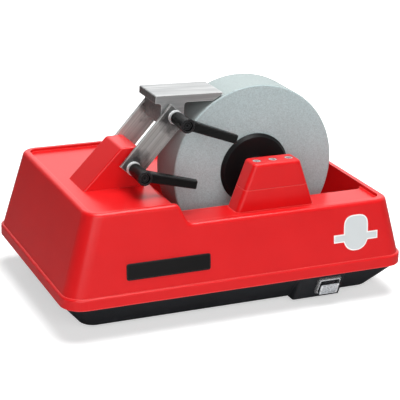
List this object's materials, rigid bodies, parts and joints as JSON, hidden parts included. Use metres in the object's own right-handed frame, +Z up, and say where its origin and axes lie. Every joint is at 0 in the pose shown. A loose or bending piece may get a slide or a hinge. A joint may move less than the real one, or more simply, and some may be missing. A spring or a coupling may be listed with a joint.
{
  "type": "wet sharpening machine",
  "caption": "Bench wet sharpening machine: moulded housing with water trough, slow belt-driven stone, and a tilting tool rest on swinging arms with clamping levers.",
  "frame": {"origin": "on the bench, under the middle of the body", "axes": "+X along the body towards the stone's end, -Y towards the user at the front, +Z up"},
  "size_m": [0.313, 0.202, 0.1833],
  "materials": {
    "red_plastic": "satin moulded",
    "black_plastic": "fine grain",
    "black_rubber": "matte",
    "grey_stone": "fine grit",
    "black_moulding": "satin",
    "aluminium_bar": "brushed",
    "black_lever": "textured",
    "copper": "varnished wire",
    "pale_plastic": "plain",
    "switch_black": "plain",
    "switch_gloss": "glossy",
    "steel": "zinc plated"
  },
  "bodies": {
    "housing": {"upper_housing": "red_plastic", "front_bearing_cap": "red_plastic", "front_cap_screws": "steel", "rear_tower_cap": "red_plastic", "rear_cap_screws": "steel", "base_tray": "black_plastic", "housing_screws": "steel", "foot_front_left": "black_rubber", "foot_front_right": "black_rubber", "foot_rear_left": "black_rubber", "foot_rear_right": "black_rubber", "foot_screws": "steel", "front_bearing": "steel", "rear_bearing": "steel", "drive_belt": "black_rubber", "motor_body": "steel", "motor_end_cover": "steel", "motor_stator": "steel", "motor_windings": "copper", "motor_bearings": "steel", "motor_mount": "steel", "motor_screws": "steel", "run_capacitor": "pale_plastic", "capacitor_clip": "steel", "terminal_block": "pale_plastic", "switch_body": "switch_black", "cable_bush": "black_rubber", "rest_bracket": "red_plastic", "bracket_screws": "steel", "pivot_sleeve": "steel"},
    "stone": {"grinding_wheel": "grey_stone", "front_flange": "black_moulding", "rear_flange": "black_moulding", "wheel_axle": "steel", "axle_nut": "steel", "driven_pulley": "black_moulding", "front_seal": "black_rubber", "rear_seal": "black_rubber"},
    "rotor": {"motor_rotor": "steel", "motor_pulley": "black_moulding"},
    "rest_arm": {"front_arm": "aluminium_bar", "rear_arm": "aluminium_bar", "lower_clamp_bolt": "steel", "upper_clamp_bolt": "steel", "lower_washer": "steel", "upper_washer": "steel", "lower_spacer": "steel", "upper_spacer": "steel"},
    "table": {"rest_table": "aluminium_bar"},
    "rocker": {"switch_rocker": "switch_gloss"},
    "lower_lever": {"lower_lever_insert": "steel", "lower_lever_screw": "steel", "lower_lever_spring": "steel"},
    "lower_handle": {"lower_lever_handle": "black_lever"},
    "upper_lever": {"upper_lever_insert": "steel", "upper_lever_screw": "steel", "upper_lever_spring": "steel"},
    "upper_handle": {"upper_lever_handle": "black_lever"}
  },
  "joints": [
    {"name": "stone_spin", "type": "hinge", "parent": "housing", "child": "stone", "pos_m": [0.0384, 0, 0.1083], "axis": [0, 1, 0], "continuous": true},
    {"name": "motor_spin", "type": "hinge", "parent": "housing", "child": "rotor", "pos_m": [0.0384, 0, 0.0525], "axis": [0, 1, 0], "continuous": true},
    {"name": "arm_swing", "type": "hinge", "parent": "housing", "child": "rest_arm", "pos_m": [-0.07592, 0, 0.12208], "axis": [0, 1, 0], "range_deg": [-80, 0]},
    {"name": "table_tilt", "type": "hinge", "parent": "rest_arm", "child": "table", "pos_m": [-0.03927, 0, 0.16336], "axis": [0, 1, 0], "range_deg": [-45, 1]},
    {"name": "rocker_tip", "type": "hinge", "parent": "housing", "child": "rocker", "pos_m": [0.082, -0.09499, 0.01912], "axis": [1, 0, 0], "range_deg": [0, 18]},
    {"name": "lower_lever_turn", "type": "hinge", "parent": "rest_arm", "child": "lower_lever", "pos_m": [-0.07592, 0, 0.12208], "axis": [0, 1, 0], "range_deg": [-40, 12]},
    {"name": "lower_lever_lift", "type": "slide", "parent": "lower_lever", "child": "lower_handle", "axis": [0, -1, 0], "range_m": [0, 0.003], "stiffness_N_per_m": 1500, "springref_m": -0.001, "deforming": ["lower_lever_spring"]},
    {"name": "upper_lever_turn", "type": "hinge", "parent": "rest_arm", "child": "upper_lever", "pos_m": [-0.03927, 0, 0.16336], "axis": [0, 1, 0], "range_deg": [-60, 35]},
    {"name": "upper_lever_lift", "type": "slide", "parent": "upper_lever", "child": "upper_handle", "axis": [0, -1, 0], "range_m": [0, 0.003], "stiffness_N_per_m": 1500, "springref_m": -0.001, "deforming": ["upper_lever_spring"]}
  ],
  "couplings": [
    {"joint": "motor_spin", "follows": "stone_spin", "ratio": 3}
  ]
}
